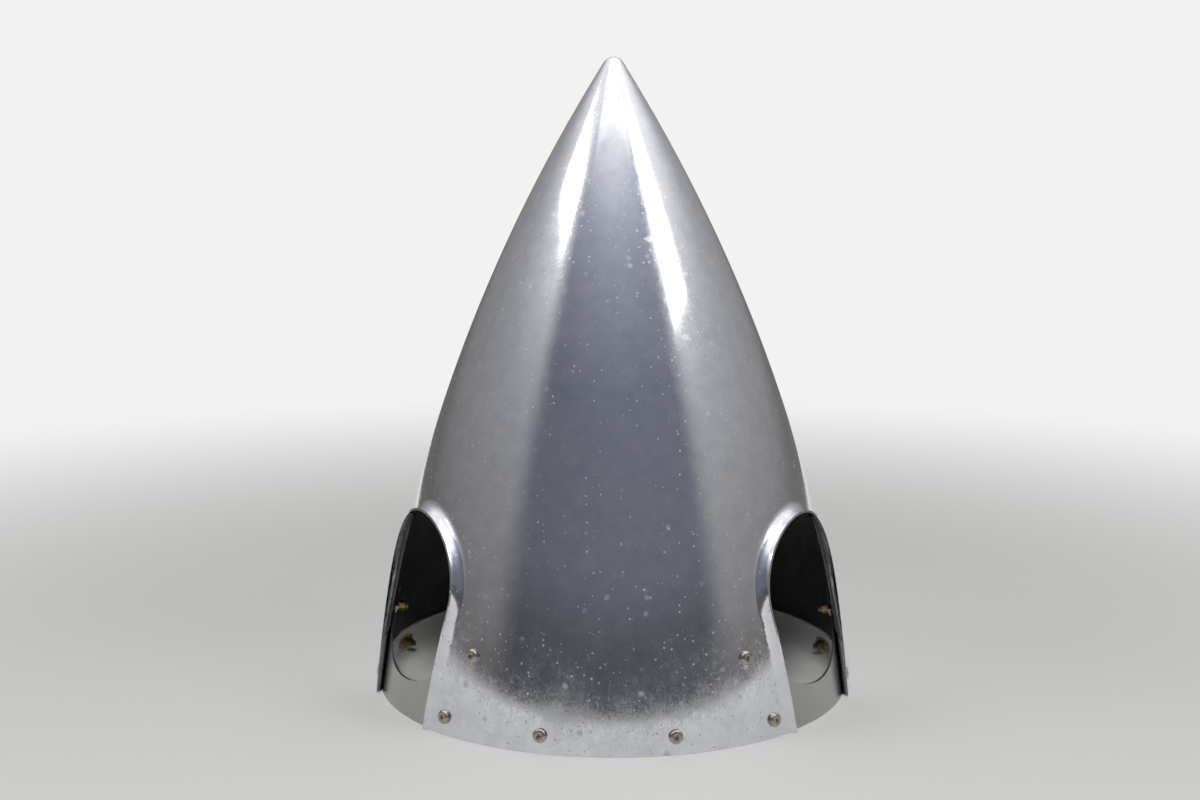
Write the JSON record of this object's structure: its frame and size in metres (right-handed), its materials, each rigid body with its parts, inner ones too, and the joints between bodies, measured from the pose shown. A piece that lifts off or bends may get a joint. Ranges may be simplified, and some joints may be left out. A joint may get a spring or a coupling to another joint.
{
  "type": "propeller spinner",
  "caption": "Polished pointed spinner dome with flanged blade slots, notched filler plates, aft bulkhead with hub bore and bolt circle, and screwed rim.",
  "frame": {"origin": "centre of the hub bore at the bulkhead's aft face, level with the dome's aft edge", "axes": "+Z along the spinner's axis towards the nose, +Y through the middle of one blade slot, -Y through the middle of a closed sector"},
  "size_m": [0.3556, 0.3539, 0.465],
  "materials": {
    "polished_aluminium": "spun and polished, slightly hazed",
    "satin_aluminium": "satin sheet",
    "bulkhead_aluminium": "bright sheet, unpolished",
    "plated_steel": "plated, dulled by handling",
    "nutplate_steel": "yellow passivated plating",
    "rivet_aluminium": "plain"
  },
  "bodies": {
    "root": {"spinner_dome": "polished_aluminium", "filler_plate_rear": "satin_aluminium", "filler_plate_left": "satin_aluminium", "filler_plate_right": "satin_aluminium", "aft_bulkhead": "bulkhead_aluminium", "hub_doubler": "bulkhead_aluminium", "bulkhead_screws": "plated_steel", "filler_lower_screws": "plated_steel", "filler_upper_screws": "plated_steel", "bulkhead_nutplates": "nutplate_steel", "filler_nutplates_rear": "nutplate_steel", "filler_nutplates_left": "nutplate_steel", "filler_nutplates_right": "nutplate_steel", "bulkhead_rivets": "rivet_aluminium", "doubler_rivets": "rivet_aluminium", "filler_rivets_rear": "rivet_aluminium", "filler_rivets_left": "rivet_aluminium", "filler_rivets_right": "rivet_aluminium"}
  },
  "joints": []
}
